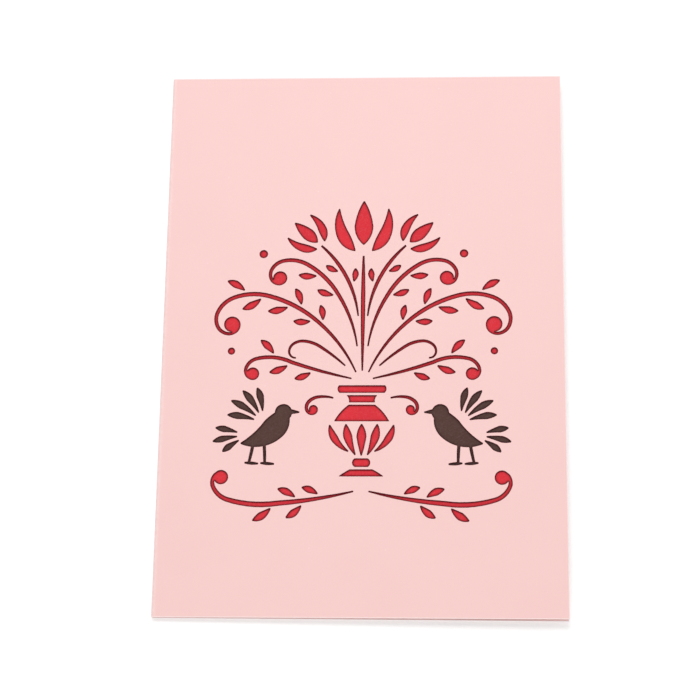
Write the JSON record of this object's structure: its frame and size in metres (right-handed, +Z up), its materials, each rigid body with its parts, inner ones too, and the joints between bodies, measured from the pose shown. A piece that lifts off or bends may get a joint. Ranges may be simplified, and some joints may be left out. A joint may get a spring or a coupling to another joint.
{
  "type": "pop up card",
  "caption": "Closed folded greeting card with a laser-cut front over coloured papers and flat-folding pop-up sheets inside.",
  "frame": {"origin": "on the table under the middle of the closed card", "axes": "+Z up out of the front cover, +Y towards the card's head, +X from the fold to the fore-edge"},
  "size_m": [0.127, 0.178, 0.0042],
  "materials": {
    "pink_card": "pearly satin",
    "red_paper": "matte",
    "brown_paper": "matte",
    "liner_paper": "matte"
  },
  "bodies": {
    "root": {"outer_card": "pink_card", "red_backing": "red_paper", "brown_backing_left": "brown_paper", "brown_backing_right": "brown_paper", "inner_card": "liner_paper", "pop_up_flowers": "red_paper", "pop_up_birds": "brown_paper"}
  },
  "joints": []
}
